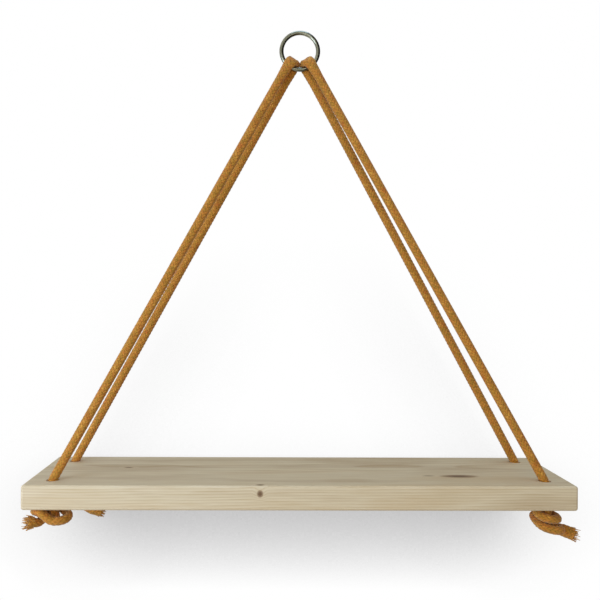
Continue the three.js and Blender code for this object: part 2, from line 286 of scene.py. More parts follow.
def leg_route(side, back):
    """The places that one leg runs through from the wire into its hole, and its first directions."""
    outward, along, wire = ring_place(side, FRONT_LEG_ANGLE if back < 0 else REAR_LEG_ANGLE)
    beside = wire + [0, back * (WIRE_RADIUS + TOUCH_GAP + LEG_HALF_THICKNESS), 0]
    bend = beside + LEG_BEND_RUN * outward
    knee = np.array([side * (HOLE_X + KNEE_SHIFT), back * HOLE_Y, BOARD_TOP - KNEE_DEPTH])
    direction = unit(knee - bend)
    start = bend + LEG_RUN * direction
    end = knee - KNEE_RUN * direction
    return beside, bend, start, end, knee, along, direction


def knot_route(side, back, places, tail):
    """The places of the knot under one hole."""
    hole = np.array([side * HOLE_X, back * HOLE_Y, BOARD_BOTTOM])
    return hole + KNOT_PITCH * np.array([tail, -back, 1]) * np.array(places, float)


def half_rope(side, back, places, tail_length, tail):
    """A route's rows from beside the wire to the end of the tail.

    Past the leg the directions are nothing, and carried_frames fills them in."""
    beside, bend, start, end, knee, along, direction = leg_route(side, back)
    upright = knee - [0, 0, KNEE_RUN]
    away = np.array([0, back, 0.0])
    end_side = unit(along - direction * (along @ direction))
    end_up = unit(away - direction * (away @ direction) - end_side * (away @ end_side))
    ease = np.linspace(0, 1, LEG_POINTS)[:, None]
    leg = np.hstack([
        curve_round(beside, bend, start, LEG_POINTS),
        lerp(LEG_HALF_WIDTH, ROPE_RADIUS, ease),
        lerp(LEG_HALF_THICKNESS, ROPE_RADIUS, ease),
        lerp(along, end_side, ease),
        lerp(away, end_up, ease),
        np.zeros_like(ease),
    ])
    knot = knot_route(side, back, places, tail)
    points = np.vstack([
        np.linspace(start, end, STRAND_POINTS)[1:],
        curve_round(end, knee, upright, KNEE_POINTS)[1:],
        np.linspace(upright, knot[0], KNEE_POINTS)[1:-1],
        curve_through(knot, KNOT_SPAN_POINTS),
    ])
    to_end = run_along(points[::-1])[::-1]
    below = np.clip((BOARD_BOTTOM - points[:, 2]) / ROPE_TAPER, 0, 1)
    opened = np.clip((tail_length - to_end) / TAIL_OPENING_RUN, 0, 1)
    rest = np.zeros((len(points), leg.shape[1]))
    rest[:, PLACE] = points
    rest[:, HALF_WIDTH] = lerp(lerp(ROPE_RADIUS, KNOT_ROPE_RADIUS, below), TAIL_RADIUS, opened)
    rest[:, HALF_THICKNESS] = rest[:, HALF_WIDTH]
    return np.vstack([leg, rest])


def over_wire(side):
    """A route's rows for the turn over the wire, from its front to its rear."""
    rows = []
    for share in np.linspace(0, 1, TURN_POINTS):
        around = math.pi * (share - 0.5)
        crown = math.cos(around)
        width = lerp(LEG_HALF_WIDTH, CROWN_HALF_WIDTH, crown)
        thickness = lerp(LEG_HALF_THICKNESS, CROWN_HALF_THICKNESS, crown)
        outward, along, wire = ring_place(side, lerp(FRONT_LEG_ANGLE, REAR_LEG_ANGLE, eased(share)))
        up = -crown * outward + [0, math.sin(around), 0]
        place = wire + (WIRE_RADIUS + TOUCH_GAP + thickness) * up
        rows.append([*place, width, thickness, *along, *up, crown])
    return np.array(rows)


def even_steps(rows, step):
    """The rows again at even steps along the route, and how far along each is."""
    run = run_along(rows[:, PLACE])
    at = np.linspace(0, run[-1], int(round(run[-1] / step)) + 1)
    return np.stack([np.interp(at, run, column) for column in rows.T], 1), at


def smoothed(rows, width):
    """The rows averaged along the route with a bell of that width in steps, the ends kept."""
    reach = int(3 * width)
    bell = np.exp(-0.5 * (np.arange(-reach, reach + 1) / width) ** 2)
    bell /= bell.sum()
    head = 2 * rows[0] - rows[reach:0:-1]
    foot = 2 * rows[-1] - rows[-2:-reach - 2:-1]
    padded = np.vstack([head, rows, foot])
    return np.stack([np.convolve(column, bell, "valid") for column in padded.T], 1)


def rope_route(side, front, rear):
    """The whole rope from its front tail to its rear tail, as rows at even steps, and their runs."""
    to_rear = half_rope(side, 1, *rear)
    to_front = half_rope(side, -1, *front)
    rows = np.vstack([to_front[:0:-1], over_wire(side), to_rear[1:]])
    rows, _ = even_steps(rows, ROUTE_STEP)
    rows = smoothed(rows, ROUTE_SMOOTHING / ROUTE_STEP)
    return even_steps(rows, ROPE_STEP)


def carried_frames(points, side, up):
    """Side and up directions along points: those given, carried on where there are none."""
    forward = np.gradient(points, axis=0)
    forward /= np.linalg.norm(forward, axis=1)[:, None]
    given = np.flatnonzero(np.linalg.norm(side, axis=1) > DIRECTION_GIVEN)
    side, up = side.copy(), up.copy()
    for order in (range(given[-1] + 1, len(points)), range(given[0] - 1, -1, -1)):
        edge = order.start + (-1 if order.step > 0 else 1)
        last = side[edge]
        turned = np.sign(np.cross(forward[edge], side[edge]) @ up[edge])
        for i in order:
            last = unit(last - forward[i] * (last @ forward[i]))
            side[i] = last
            up[i] = turned * np.cross(forward[i], last)
    return forward, side, up


# Meshes

def make_mesh(name, points, faces, material):
    """A smoothly shaded piece from points in millimetres and faces."""
    mesh = bpy.data.meshes.new(name)
    mesh.from_pydata((np.asarray(points) * MM).tolist(), [], faces)
    mesh.materials.append(material)
    mesh.update()
    mesh.polygons.foreach_set("use_smooth", [True] * len(mesh.polygons))
    piece = bpy.data.objects.new(name, mesh)
    bpy.context.scene.collection.objects.link(piece)
    return piece


def set_uv(piece, name, coordinates):
    """Gives the piece a UV map from one coordinate pair to each face corner."""
    layer = piece.data.uv_layers.new(name=name)
    layer.data.foreach_set("uv", np.asarray(coordinates, np.float32).ravel())


def braid_height(around, run):
    """How far the braid's surface stands out, at a share of the way around and a run along the rope."""
    right = CARRIERS * (around - run / BRAID_PITCH)
    left = CARRIERS * (around + run / BRAID_PITCH)
    heights = []
    for own, other, middle in ((right, left, 1), (left, right, 3)):
        across = 2 * (own - np.floor(own)) - 1
        lift = np.cos(0.5 * math.pi * (np.floor(own) + other - middle))
        bulge = np.sqrt(1 - CARRIER_ROUNDNESS * across ** 2) - 1
        heights.append(BRAID_LIFT * lift + CARRIER_BULGE * bulge)
    return np.maximum(*heights) + BRAID_BASE


def squared(value, squareness):
    return np.sign(value) * np.abs(value) ** (2 / squareness)


def bent_to_ring(surface, points, side, crown):
    """Bends the rope's surface to the ring's curve, by as much as each row lies over the wire."""
    from_hub = points - RING_CENTRE
    radius = np.hypot(from_hub[:, 0], from_hub[:, 2])
    way = np.sign(from_hub[:, 0] * side[:, 2] - from_hub[:, 2] * side[:, 0])
    sideways = np.einsum("ijk,ik->ij", surface - points[:, None, :], side)
    turn = (way / radius)[:, None] * sideways
    flat = surface - RING_CENTRE - sideways[:, :, None] * side[:, None, :]
    x = flat[:, :, 0] * np.cos(turn) - flat[:, :, 2] * np.sin(turn)
    z = flat[:, :, 0] * np.sin(turn) + flat[:, :, 2] * np.cos(turn)
    bent = np.stack([x, flat[:, :, 1], z], 2) + RING_CENTRE
    return lerp(surface, bent, crown[:, None, None])


def rope_surface(rows, run):
    """Rings of points round a route, flattened and squared where its rows say, with the braid's relief."""
    points, crown = rows[:, PLACE], np.clip(rows[:, CROWN], 0, 1)
    forward, side, up = carried_frames(points, rows[:, SIDE], rows[:, UP])
    width = rows[:, HALF_WIDTH, None, None]
    thickness = rows[:, HALF_THICKNESS, None, None]
    around = np.arange(ROPE_SIDES) / ROPE_SIDES
    angle = 2 * math.pi * around[None, :, None]
    squareness = lerp(2, CROWN_SQUARENESS, crown)[:, None, None]
    reach = (
        squared(np.cos(angle), squareness) * width * side[:, None, :]
        + squared(np.sin(angle), squareness) * thickness * up[:, None, :]
    )
    normal = np.cos(angle) / width * side[:, None, :] + np.sin(angle) / thickness * up[:, None, :]
    normal /= np.linalg.norm(normal, axis=2)[:, :, None]
    reach = reach + normal * braid_height(around[None, :], run[:, None])[:, :, None]
    inward = np.einsum("ijk,ik->ij", reach, np.gradient(forward, run, axis=0))
    shrink = INNER_BEND_LIMIT / np.maximum(inward, INNER_BEND_LIMIT)
    reach = reach * shrink[:, :, None]
    return bent_to_ring(points[:, None, :] + reach, points, side, crown)


def make_rope(name, route, material):
    """One braided rope as a closed tube, with the coordinates of its braid and of its sheet."""
    rows, run = route
    rings = len(rows)
    corner = np.arange(ROPE_SIDES)
    first = np.arange(rings - 1)[:, None] * ROPE_SIDES
    a, b = first + corner, first + (corner + 1) % ROPE_SIDES
    quads = np.stack([a, b, b + ROPE_SIDES, a + ROPE_SIDES], 2).reshape(-1, 4)
    front_cap = list(range(ROPE_SIDES - 1, -1, -1))
    rear_cap = list(range((rings - 1) * ROPE_SIDES, rings * ROPE_SIDES))
    surface = rope_surface(rows, run).reshape(-1, 3)
    piece = make_mesh(name, surface, quads.tolist() + [front_cap, rear_cap], material)

    low, high = corner / ROPE_SIDES, (corner + 1) / ROPE_SIDES
    turns = run / BRAID_PITCH
    shape = (rings - 1, ROPE_SIDES, 4)
    corner_around = np.broadcast_to(np.stack([low, high, high, low], 1), shape)
    corner_turns = np.stack([turns[:-1], turns[:-1], turns[1:], turns[1:]], 1)[:, None, :]
    braid = np.stack([corner_around, np.broadcast_to(corner_turns, shape)], 3).reshape(-1, 2)
    cap_uv = np.zeros((2 * ROPE_SIDES, 2))
    set_uv(piece, "braid", np.vstack([braid, cap_uv]))
    set_uv(piece, "OFBake", np.vstack([rope_sheet(corner_around), cap_uv]))
    return piece


def rope_sheet(corner_around):
    """The rope's surface laid out in rows on a square, for a picture of its colours."""
    quads = len(corner_around)
    per_row = math.ceil(quads / SHEET_ROWS)
    quad = np.arange(quads)
    row = quad // per_row
    share = (quad - row * per_row) / per_row
    step = 1 / per_row
    u = np.stack([share, share, share + step, share + step], 1)[:, None, :]
    v = (row[:, None, None] + SHEET_MARGIN + corner_around * (1 - 2 * SHEET_MARGIN)) / SHEET_ROWS
    return np.stack([np.broadcast_to(u, v.shape), v], 3).reshape(-1, 2)


def tube_faces(rings, sides):
    """Faces of a closed tube whose points lie ring after ring."""
    faces = []
    for i in range(rings - 1):
        for k in range(sides):
            n = (k + 1) % sides
            faces.append((i * sides + k, i * sides + n, (i + 1) * sides + n, (i + 1) * sides + k))
    faces.append(tuple(range(sides - 1, -1, -1)))
    faces.append(tuple(range((rings - 1) * sides, rings * sides)))
    return faces


def tube_points(centres, radii, sides):
    """Rings of points round one thin tube."""
    forward = np.gradient(centres, axis=0)
    forward /= np.linalg.norm(forward, axis=1)[:, None]
    side = np.cross(forward, LEVEL_YARN_GUIDE if abs(forward[0][2]) < STEEP else STEEP_YARN_GUIDE)
    side /= np.linalg.norm(side, axis=1)[:, None]
    up = np.cross(forward, side)
    angle = 2 * math.pi * np.arange(sides)[None, :, None] / sides
    across = np.cos(angle) * side[:, None, :] + np.sin(angle) * up[:, None, :]
    return (centres[:, None, :] + radii[:, None, None] * across).reshape(-1, 3)


def make_frayed_end(name, end, direction, material, random):
    """The yarns of one rope end, splayed where the braid has opened."""
    direction = unit(direction)
    side = unit(np.cross(direction, END_GUIDE))
    up = np.cross(direction, side)
    share = np.linspace(0, 1, YARN_POINTS)[:, None]
    taper = 1 - YARN_TAPER * share[:, 0] ** 3
    points, faces = [], []
    for yarn in range(YARNS):
        angle = yarn * GOLDEN_ANGLE
        outward = (math.cos(angle) * side + math.sin(angle) * up) * math.sqrt((yarn + 0.5) / YARNS)
        length = random.uniform(*YARN_LENGTH)
        start = end - random.uniform(*YARN_START) * direction + outward * (TAIL_RADIUS - YARN_INSET)
        aim = unit(direction + outward * random.uniform(0.0, YARN_SPLAY) + random.normal(0, YARN_WANDER, 3))
        curl = random.normal(0, YARN_CURL, 3)
        centres = start + length * (direction * share / 2 + (aim / 2 + curl) * share ** 2)
        centres[:, 2] -= YARN_DROOP * share[:, 0] ** 2
        radii = YARN_RADIUS * taper * random.uniform(*YARN_THICKNESS)
        first = yarn * YARN_POINTS * YARN_SIDES
        points.append(tube_points(centres, radii, YARN_SIDES))
        faces.extend(tuple(first + i for i in face) for face in tube_faces(YARN_POINTS, YARN_SIDES))
    return make_mesh(name, np.vstack(points), faces, material)


def spin(name, profile, segments, material):
    """A closed body turned about the Z axis from a profile of radius and height."""
    points, faces = [], []
    for k in range(segments):
        angle = 2 * math.pi * k / segments
        points.extend((r * math.cos(angle), r * math.sin(angle), z) for r, z in profile)
    size = len(profile)
    for k in range(segments):
        a, b = k * size, ((k + 1) % segments) * size
        for i in range(size - 1):
            faces.append((a + i, b + i, b + i + 1, a + i + 1))
    faces.append(tuple(k * size for k in range(segments - 1, -1, -1)))
    faces.append(tuple(k * size + size - 1 for k in range(segments)))
    return make_mesh(name, points, faces, material)


def apply_modifiers(piece):
    """Puts the result of the piece's modifiers into its mesh."""
    shape = piece.evaluated_get(bpy.context.evaluated_depsgraph_get())
    mesh = bpy.data.meshes.new_from_object(shape)
    piece.modifiers.clear()
    piece.data = mesh


def drill_profile():
    """Radius and height up the wall of a hole, from under the board to over it, with its rims eased."""
    rim = [
        (HOLE_RADIUS + HOLE_RIM * (1 - math.sin(a)), HOLE_RIM * (1 - math.cos(a)))
        for a in np.linspace(0, math.pi / 2, RIM_POINTS)
    ]
    mouth = HOLE_RADIUS + HOLE_RIM
    lower = [(mouth, BOARD_BOTTOM - DRILL_OVERRUN)] + [(r, BOARD_BOTTOM + z) for r, z in rim]
    upper = [(r, BOARD_TOP - z) for r, z in reversed(rim)] + [(mouth, BOARD_TOP + DRILL_OVERRUN)]
    return lower + upper


def make_board(material):
    """The pine board with rounded edges and drilled holes whose rims are eased."""
    body = bmesh.new()
    bmesh.ops.create_cube(body, size=1)
    middle = (BOARD_LOW + BOARD_HIGH) / 2
    for vertex in body.verts:
        vertex.co = Vector((np.array(vertex.co) * (BOARD_HIGH - BOARD_LOW) + middle) * MM)
    mesh = bpy.data.meshes.new("board_piece")
    body.to_mesh(mesh)
    body.free()
    mesh.materials.append(material)
    board = bpy.data.objects.new("pine_board", mesh)
    bpy.context.scene.collection.objects.link(board)
    rounding = board.modifiers.new("rounding", "BEVEL")
    rounding.width = EDGE_RADIUS * MM
    rounding.segments = EDGE_SEGMENTS
    drills = []
    for x in (-HOLE_X, HOLE_X):
        for y in (-HOLE_Y, HOLE_Y):
            drill = spin("drill", drill_profile(), DRILL_SEGMENTS, material)
            drill.location = Vector((x, y, 0)) * MM
            cut = board.modifiers.new("hole", "BOOLEAN")
            cut.operation = "DIFFERENCE"
            cut.solver = "EXACT"
            cut.object = drill
            drills.append(drill)
    bpy.context.view_layer.update()
    apply_modifiers(board)
    for drill in drills:
        bpy.data.objects.remove(drill)
    shade(board, SHARP_DEGREES)
    return board


def shade(piece, degrees):
    """Smooth shading that keeps flat faces flat."""
    piece.data.polygons.foreach_set("use_smooth", [True] * len(piece.data.polygons))
    piece.data.set_sharp_from_angle(angle=math.radians(degrees))
    weighting = piece.modifiers.new("weighting", "WEIGHTED_NORMAL")
    weighting.keep_sharp = True
    bpy.context.view_layer.update()
    apply_modifiers(piece)


def bead_height(angle):
    """How far the weld's bead stands out at an angle round the ring, with a seam down its middle."""
    away = (angle - BEAD_ANGLE) / BEAD_REACH
    seam = BEAD_SEAM_DEPTH * math.exp(-0.5 * (BEAD_SEAM_SHARPNESS * away) ** 2)
    return BEAD_HEIGHT * (math.exp(-0.5 * away ** 2) - seam)


def make_ring(material):
    """The welded steel ring, with the small bead where its wire was joined."""
    points, faces = [], []
    for i in range(RING_SEGMENTS):
        angle = 2 * math.pi * i / RING_SEGMENTS
        radius = WIRE_RADIUS + bead_height(angle)
        here, there = i * WIRE_SIDES, (i + 1) % RING_SEGMENTS * WIRE_SIDES
        for k in range(WIRE_SIDES):
            turn = 2 * math.pi * k / WIRE_SIDES
            out = RING_RADIUS + radius * math.cos(turn)
            height = RING_CENTRE[2] + out * math.sin(angle)
            points.append((out * math.cos(angle), radius * math.sin(turn), height))
            n = (k + 1) % WIRE_SIDES
            faces.append((here + k, here + n, there + n, there + k))
    return make_mesh("steel_ring", points, faces, material)


# Materials

def colour(red, green, blue):
    """A linear colour from a screen colour."""
    def linear(c):
        c /= 255
        return c / 12.92 if c <= 0.04045 else ((c + 0.055) / 1.055) ** 2.4
    return linear(red), linear(green), linear(blue)


class Shading:
    """The nodes of a material or of the surround, and short ways to add to them."""

    def __init__(self, owner):
        owner.use_nodes = True
        self.owner = owner
        self.nodes = owner.node_tree.nodes
        self.links = owner.node_tree.links

    def link(self, value, socket):
        """Joins an output to the socket, or gives the socket a plain value."""
        if isinstance(value, bpy.types.NodeSocket):
            self.links.new(value, socket)
        else:
            socket.default_value = value

    def node(self, kind, *values, **settings):
        """A new node with its settings and its first inputs."""
        node = self.nodes.new(f"ShaderNode{kind}")
        for name, value in settings.items():
            setattr(node, name, value)
        for value, socket in zip(values, node.inputs):
            self.link(value, socket)
        return node

    def maths(self, operation, *values, clamp=False):
        return self.node("Math", *values, operation=operation, use_clamp=clamp).outputs[0]

    def plus(self, a, b):
        return self.maths("ADD", a, b)

    def minus(self, a, b, clamp=False):
        return self.maths("SUBTRACT", a, b, clamp=clamp)

    def times(self, a, b):
        return self.maths("MULTIPLY", a, b)

    def power(self, a, b):
        return self.maths("POWER", a, b)

    def root(self, a):
        return self.maths("SQRT", a)

    def larger(self, a, b):
        return self.maths("MAXIMUM", a, b)

    def wave(self, a):
        return self.maths("SINE", a)

    def vector(self, x, y, z):
        return self.node("CombineXYZ", x, y, z).outputs[0]

    def stretched(self, place, scales):
        """A place with each of its numbers scaled."""
        return self.vector(*(
            self.times(p, scale) if isinstance(p, bpy.types.NodeSocket) else p * scale
            for p, scale in zip(place, scales)
        ))

    def place(self):
        """The point's place in metres, as three numbers."""
        return self.node("SeparateXYZ", self.node("TexCoord").outputs["Object"]).outputs

    def uv(self, name):
        """The two coordinates of a UV map."""
        return self.node("SeparateXYZ", self.node("UVMap", uv_map=name).outputs[0]).outputs[:2]

    def noise(self, vector, detail=2.0, roughness=0.5):
        node = self.node("TexNoise")
        self.link(vector, node.inputs["Vector"])
        self.link(1.0, node.inputs["Scale"])
        self.link(detail, node.inputs["Detail"])
        self.link(roughness, node.inputs["Roughness"])
        return node.outputs["Fac"]

    def openness(self, reach, samples, direction=None):
        """How open the space round a point is, from 0 to 1, for a reach in millimetres."""
        node = self.node("AmbientOcclusion", samples=samples)
        self.link(reach * MM, node.inputs["Distance"])
        if direction is not None:
            self.link(direction, node.inputs["Normal"])
        return node.outputs["AO"]

    def ramp(self, factor, stops):
        """Colours or greys at places between 0 and 1."""
        node = self.node("ValToRGB", factor)
        elements = node.color_ramp.elements
        while len(elements) < len(stops):
            elements.new(0.5)
        for element, (place, tone) in zip(elements, stops):
            element.position = place
            element.color = (*tone, 1) if hasattr(tone, "__len__") else (tone, tone, tone, 1)
        return node.outputs[0]

    def mix(self, factor, a, b, blend="MIX"):
        """A mix of two colours."""
        node = self.node("Mix", factor, data_type="RGBA", blend_type=blend)
        for value, socket in ((a, node.inputs[6]), (b, node.inputs[7])):
            self.link(value if isinstance(value, bpy.types.NodeSocket) else (*value, 1), socket)
        return node.outputs[2]

    def mix_shaders(self, factor, a, b):
        return self.node("MixShader", factor, a, b).outputs[0]

    def bump(self, height, strength, distance):
        """A normal from a height, whose distance is in millimetres."""
        node = self.node("Bump")
        self.link(strength, node.inputs["Strength"])
        self.link(distance * MM, node.inputs["Distance"])
        self.link(height, node.inputs["Height"])
        return node.outputs[0]

    def set(self, **sockets):
        """Sets the material's own shader and returns the material."""
        for name, value in sockets.items():
            self.link(value, self.nodes["Principled BSDF"].inputs[name.replace("_", " ")])
        return self.owner


def new_material(name):
    return Shading(bpy.data.materials.new(name))


# Rope colours, with the painted shade of the braid's grooves and of the gaps between yarns
FIBRE_COLOURS = ((0.25, colour(124, 78, 14)), (0.48, colour(198, 134, 40)), (0.75, colour(242, 190, 86)))
CARRIER_COLOURS = (
    (0.3, colour(150, 108, 20)), (0.44, colour(198, 140, 40)),
    (0.56, colour(208, 120, 40)), (0.7, colour(238, 176, 70)),
)
PATCH_COLOURS = ((0.3, colour(236, 178, 142)), (0.46, WHITE), (0.56, WHITE), (0.72, colour(204, 214, 150)))
GROOVE_PAINTED_SHADE = ((0.1, 0.2), (0.46, 0.62), (0.84, 1.0))
BETWEEN_YARNS_PAINTED_SHADE = ((0.0, 0.62), (0.45, 1.0))
YARN_COLOURS = ((0.3, colour(140, 88, 24)), (0.5, colour(200, 136, 48)), (0.72, colour(238, 184, 92)))

# Rope pattern: how fast the twist and each noise change across a carrier, along it and between carriers
YARNS_PER_CARRIER = 3
TWIST_ACROSS = 9.0
TWIST_ALONG = 7.0
FIBRE_STRETCH = (16.0, 1.6, 3.7)
TINT_STRETCH = (5.3, 0.55, 2.0)
# Loose colour changes with each turn of the braid and with the way round the rope
DRIFT_STRETCH = (2.6, 3.0, 0.0)
# What keeps the colours of carriers that wind right apart from those that wind left
RIGHT_CARRIER_SHIFT = 37.0
# Changes to each metre, in the loose yarns
YARN_STRETCH = (900.0, 900.0, 900.0)


def rope_material():
    """Golden brown plant fibre, with the braid's carriers, their yarns, loose colour from end to end, and
    painted shade in the grooves and between the yarns.
    """
    s = new_material("braided_rope")
    around, turns = s.uv("braid")
    right = s.times(s.minus(around, turns), CARRIERS)
    left = s.times(s.plus(around, turns), CARRIERS)
    ways = []
    for own, other, middle in ((right, left, 1.0), (left, right, 3.0)):
        index = s.maths("FLOOR", own)
        across = s.maths("FRACT", own)
        lift = s.maths("COSINE", s.times(s.minus(s.plus(index, other), middle), math.pi / 2))
        edge = s.minus(s.times(across, 2.0), 1.0)
        bulge = s.root(s.minus(1.0, s.times(s.power(edge, 2.0), CARRIER_ROUNDNESS)))
        height = s.plus(s.times(lift, BRAID_LIFT), s.times(bulge, CARRIER_BULGE))
        ways.append((height, across, index, other))
    over = s.maths("GREATER_THAN", ways[0][0], ways[1][0])
    under = s.minus(1.0, over)
    across, index, along = (
        s.plus(s.times(one, over), s.times(two, under)) for one, two in zip(ways[0][1:], ways[1][1:])
    )
    height = s.larger(ways[0][0], ways[1][0])
    index = s.plus(index, s.times(over, RIGHT_CARRIER_SHIFT))
    yarns = s.maths("ABSOLUTE", s.wave(s.times(across, YARNS_PER_CARRIER * math.pi)))
    twist = s.wave(s.plus(s.times(along, TWIST_ALONG), s.times(across, TWIST_ACROSS)))
    fibres = s.noise(s.stretched((across, along, index), FIBRE_STRETCH), detail=4.0, roughness=0.65)
    tint = s.noise(s.stretched((index, along, 1.0), TINT_STRETCH), detail=1.0)
    drift = s.noise(s.stretched((turns, around, 1.0), DRIFT_STRETCH), detail=3.0, roughness=0.6)

    tone = s.mix(0.5, s.ramp(fibres, FIBRE_COLOURS), s.ramp(tint, CARRIER_COLOURS))
    tone = s.mix(0.6, tone, s.ramp(drift, PATCH_COLOURS), "MULTIPLY")
    # Painted shade: darker down in the braid's grooves and in the gaps between the yarns
    tone = s.mix(1.0, tone, s.ramp(height, GROOVE_PAINTED_SHADE), "MULTIPLY")
    tone = s.mix(0.8, tone, s.ramp(yarns, BETWEEN_YARNS_PAINTED_SHADE), "MULTIPLY")
    relief = s.plus(s.times(yarns, 0.5), s.plus(s.times(fibres, 0.8), s.times(twist, 0.12)))
    normal = s.bump(relief, strength=0.7, distance=0.3)
    return s.set(
        Base_Color=tone, Roughness=0.78, Normal=normal,
        Sheen_Weight=0.25, Sheen_Roughness=0.5, Specular_IOR_Level=0.25,
    )


def yarn_material():
    """The loose yarns of the frayed ends."""
    s = new_material("frayed_yarn")
    streak = s.noise(s.stretched(s.place(), YARN_STRETCH), detail=3.0)
    tone = s.ramp(streak, YARN_COLOURS)
    normal = s.bump(streak, strength=0.5, distance=0.2)
    return s.set(Base_Color=tone, Roughness=0.8, Normal=normal, Sheen_Weight=0.25, Specular_IOR_Level=0.25)


# Pine: the pith lies below the board, and the rings wander from true circles by some of their widths
PITH_Y = 20.0
PITH_Z = -610.0
GROWTH_RING = 2.1
RING_WANDER = 7.0
RING_RIPPLE = 0.5
# Changes to each metre, along, across and up the board
WANDER_STRETCH = (2.2, 3.0, 3.0)
RIPPLE_STRETCH = (9.0, 60.0, 60.0)
FINE_STRETCH = (22.0, 1500.0, 1500.0)
FLOW_STRETCH = (5.0, 34.0, 34.0)
# Marks in the pine: centre and reach along each axis in millimetres, and strength
WOOD_KNOTS = (
    ((-43.7, -72.0, -519.5), (3.0, 9.0, 3.4), 1.0),
    ((-43.7, -68.0, -511.0), (4.5, 2.2, 1.6), 0.8),
    ((-200.0, 12.0, -511.0), (4.5, 1.8, 3.0), 0.9),
    ((182.0, -28.0, -511.0), (19.0, 6.0, 8.0), 0.75),
    ((148.0, -26.0, -511.0), (7.0, 2.5, 4.0), 0.35),
)
# A knot is dark out to this many reaches, with a rippled outline, and pushes the rings round it aside
KNOT_EDGE = 1.25
KNOT_RIPPLE = 0.5
HALO_FALL = 0.36
HALO_RINGS = 1.6
EARLY_WOOD = colour(226, 208, 172)
GROWTH_COLOURS = (
    (0.0, EARLY_WOOD), (0.55, colour(222, 202, 164)), (0.86, colour(203, 176, 132)),
    (0.94, colour(190, 158, 112)), (1.0, EARLY_WOOD),
)
FINE_COLOURS = ((0.3, colour(206, 186, 146)), (0.5, colour(224, 206, 170)), (0.7, colour(238, 224, 194)))
FLOW_COLOURS = ((0.32, colour(214, 196, 176)), (0.5, WHITE), (0.7, colour(240, 226, 206)))
HALO_COLOUR = colour(190, 146, 96)
KNOT_COLOURS = ((0.2, colour(132, 92, 54)), (0.7, colour(84, 54, 32)), (1.0, colour(120, 86, 54)))
KNOT_STRENGTHS = ((0.0, 0.0), (0.25, 0.55), (1.0, 0.95))


def wood_knots(s, place, ripple):
    """How much of a knot, and of the bent grain round it, there is at a place."""
    knots, halos = [], []
    for centre, reach, strength in WOOD_KNOTS:
        x, y, z = (
            s.power(s.times(s.minus(p, c * MM), 1 / (r * MM)), 2.0) for p, c, r in zip(place, centre, reach)
        )
        away = s.root(s.plus(s.plus(x, y), z))
        away = s.plus(away, s.times(s.minus(ripple, 0.5), KNOT_RIPPLE))
        knots.append(s.times(s.minus(KNOT_EDGE, away, clamp=True), strength))
        halos.append(s.times(s.minus(1.0, s.times(away, HALO_FALL), clamp=True), strength))
    return functools.reduce(s.larger, knots), functools.reduce(s.larger, halos)


def pine_material():
    """Planed pine: growth rings round a pith below the board, fine fibres, knots and soft patches."""
    s = new_material("planed_pine")
    place = s.place()
    wander = s.noise(s.stretched(place, WANDER_STRETCH))
    ripple = s.noise(s.stretched(place, RIPPLE_STRETCH))
    fibres = s.noise(s.stretched(place, FINE_STRETCH), detail=3.0, roughness=0.6)
    flow = s.noise(s.stretched(place, FLOW_STRETCH), detail=3.0, roughness=0.55)
    knots, halo = wood_knots(s, place, ripple)
    across, up = s.minus(place[1], PITH_Y * MM), s.minus(place[2], PITH_Z * MM)
    from_pith = s.root(s.plus(s.power(across, 2.0), s.power(up, 2.0)))
    rings = s.times(from_pith, 1 / (GROWTH_RING * MM))
    rings = s.plus(rings, s.times(wander, RING_WANDER))
    rings = s.plus(rings, s.times(ripple, RING_RIPPLE))
    rings = s.plus(rings, s.times(halo, HALO_RINGS))
    late = s.maths("FRACT", rings)

    wood = s.mix(0.5, s.ramp(late, GROWTH_COLOURS), s.ramp(fibres, FINE_COLOURS))
    wood = s.mix(0.5, wood, s.ramp(flow, FLOW_COLOURS), "MULTIPLY")
    wood = s.mix(s.times(s.power(halo, 3.0), 0.5), wood, HALO_COLOUR)
    wood = s.mix(s.ramp(knots, KNOT_STRENGTHS), wood, s.ramp(knots, KNOT_COLOURS))
    relief = s.plus(s.times(fibres, 0.6), s.times(late, -0.25))
    normal = s.bump(relief, strength=0.35, distance=0.25)
    rough = s.plus(0.5, s.times(fibres, 0.2))
    return s.set(Base_Color=wood, Roughness=rough, Normal=normal, Specular_IOR_Level=0.35)


# Steel, with the haze's changes to each metre
HAZE_STRETCH = (120.0, 120.0, 120.0)
STEEL_COLOURS = ((0.3, colour(122, 122, 104)), (0.5, colour(142, 142, 124)), (0.72, colour(162, 162, 144)))


def steel_material():
    """Polished steel wire with a little haze."""
    s = new_material("steel_wire")
    haze = s.noise(s.stretched(s.place(), HAZE_STRETCH), detail=4.0, roughness=0.6)
    rough = s.plus(0.14, s.times(haze, 0.2))
    normal = s.bump(haze, strength=0.12, distance=0.1)
    return s.set(Base_Color=s.ramp(haze, STEEL_COLOURS), Metallic=1.0, Roughness=rough, Normal=normal)


# Camera, lights and backdrop

def make_camera():
    """The photograph's camera, at its own place and with its own shift."""
    data = bpy.data.cameras.new("camera")
    data.sensor_width = SENSOR_WIDTH
    data.lens = CAMERA_FOCAL_PIXELS / FRAME_PIXELS * SENSOR_WIDTH
    data.shift_x = 0.5 - CAMERA_CENTRE_PIXEL[0] / FRAME_PIXELS
    data.shift_y = CAMERA_CENTRE_PIXEL[1] / FRAME_PIXELS - 0.5
    data.clip_start = CAMERA_NEAREST * MM
    camera = bpy.data.objects.new("camera", data)
    camera.location = Vector(CAMERA_PLACE) * MM
    camera.rotation_euler = (math.pi / 2, -math.radians(CAMERA_TILT), math.radians(CAMERA_TURN))
    bpy.context.scene.collection.objects.link(camera)
    bpy.context.scene.camera = camera


def make_area_light(name, place, target, size, watts, tint):
    """One soft lamp, which the camera doesn't see."""
    data = bpy.data.lights.new(name, "AREA")
    data.shape = "RECTANGLE"
    data.size, data.size_y = size
    data.energy = watts
    data.color = tint
    lamp = bpy.data.objects.new(name, data)
    lamp.location = place
    lamp.visible_camera = False
    lamp.rotation_euler = (Vector(target) - Vector(place)).to_track_quat("-Z", "Y").to_euler()
    bpy.context.scene.collection.objects.link(lamp)


